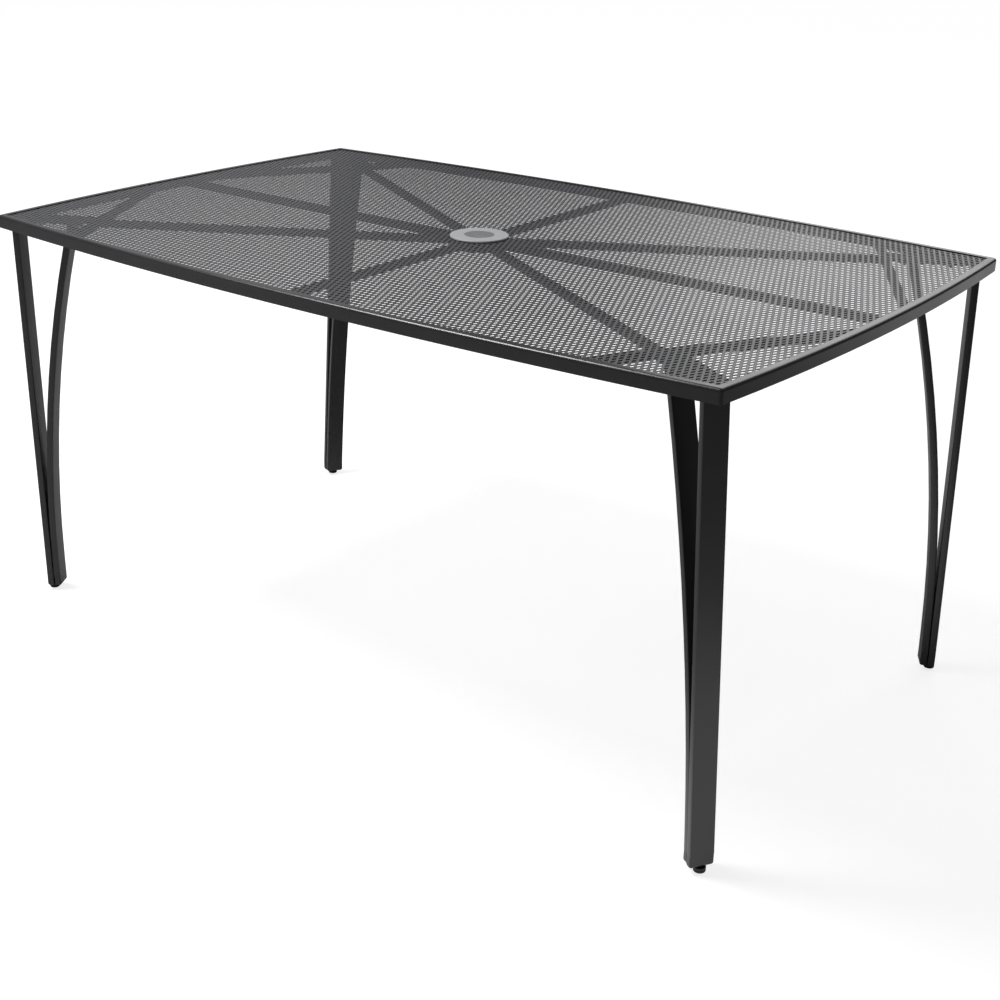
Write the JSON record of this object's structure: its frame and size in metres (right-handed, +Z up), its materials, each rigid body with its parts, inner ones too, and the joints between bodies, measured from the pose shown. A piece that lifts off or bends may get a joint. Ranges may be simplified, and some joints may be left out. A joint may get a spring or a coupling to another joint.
{
  "type": "garden table",
  "caption": "Rectangular steel garden table with bowed edges, a see-through mesh top, V-shaped legs and a plugged umbrella hole.",
  "frame": {"origin": "on the floor under the middle of the top", "axes": "+X along the table, +Y across it towards the back, +Z up"},
  "size_m": [1.524, 0.968, 0.7514],
  "materials": {
    "frame_coat": "satin",
    "mesh_coat": "satin",
    "ring_plastic": "matte",
    "plug_plastic": "matte",
    "glide_plastic": "matte",
    "zinc_steel": "satin"
  },
  "bodies": {
    "root": {"rim_front": "frame_coat", "rim_back": "frame_coat", "rim_left": "frame_coat", "rim_right": "frame_coat", "hub_collar": "frame_coat", "hub_plate": "frame_coat", "spoke_front": "frame_coat", "spoke_back": "frame_coat", "spoke_left": "frame_coat", "spoke_right": "frame_coat", "top_mesh": "mesh_coat", "spoke_front_left": "frame_coat", "brace_front_left": "frame_coat", "frame_plate_front_left": "frame_coat", "leg_plate_front_left": "frame_coat", "leg_outer_front_left": "frame_coat", "leg_inner_front_left": "frame_coat", "foot_block_front_left": "frame_coat", "leg_nut_front_left_1": "zinc_steel", "leg_nut_front_left_2": "zinc_steel", "spoke_front_right": "frame_coat", "brace_front_right": "frame_coat", "frame_plate_front_right": "frame_coat", "leg_plate_front_right": "frame_coat", "leg_outer_front_right": "frame_coat", "leg_inner_front_right": "frame_coat", "foot_block_front_right": "frame_coat", "leg_nut_front_right_1": "zinc_steel", "leg_nut_front_right_2": "zinc_steel", "spoke_back_left": "frame_coat", "brace_back_left": "frame_coat", "frame_plate_back_left": "frame_coat", "leg_plate_back_left": "frame_coat", "leg_outer_back_left": "frame_coat", "leg_inner_back_left": "frame_coat", "foot_block_back_left": "frame_coat", "leg_nut_back_left_1": "zinc_steel", "leg_nut_back_left_2": "zinc_steel", "spoke_back_right": "frame_coat", "brace_back_right": "frame_coat", "frame_plate_back_right": "frame_coat", "leg_plate_back_right": "frame_coat", "leg_outer_back_right": "frame_coat", "leg_inner_back_right": "frame_coat", "foot_block_back_right": "frame_coat", "leg_nut_back_right_1": "zinc_steel", "leg_nut_back_right_2": "zinc_steel", "umbrella_ring": "ring_plastic"},
    "plug": {"umbrella_plug": "plug_plastic"},
    "foot_front_left": {"glide_front_left": "glide_plastic"},
    "foot_front_right": {"glide_front_right": "glide_plastic"},
    "foot_back_left": {"glide_back_left": "glide_plastic"},
    "foot_back_right": {"glide_back_right": "glide_plastic"}
  },
  "joints": [
    {"name": "plug_lift", "type": "slide", "parent": "root", "child": "plug", "axis": [0, 0, 1], "range_m": [0, 0.06]},
    {"name": "glide_screw_front_left", "type": "slide", "parent": "root", "child": "foot_front_left", "axis": [0, 0, -1], "range_m": [0, 0.01]},
    {"name": "glide_screw_front_right", "type": "slide", "parent": "root", "child": "foot_front_right", "axis": [0, 0, -1], "range_m": [0, 0.01]},
    {"name": "glide_screw_back_left", "type": "slide", "parent": "root", "child": "foot_back_left", "axis": [0, 0, -1], "range_m": [0, 0.01]},
    {"name": "glide_screw_back_right", "type": "slide", "parent": "root", "child": "foot_back_right", "axis": [0, 0, -1], "range_m": [0, 0.01]}
  ]
}
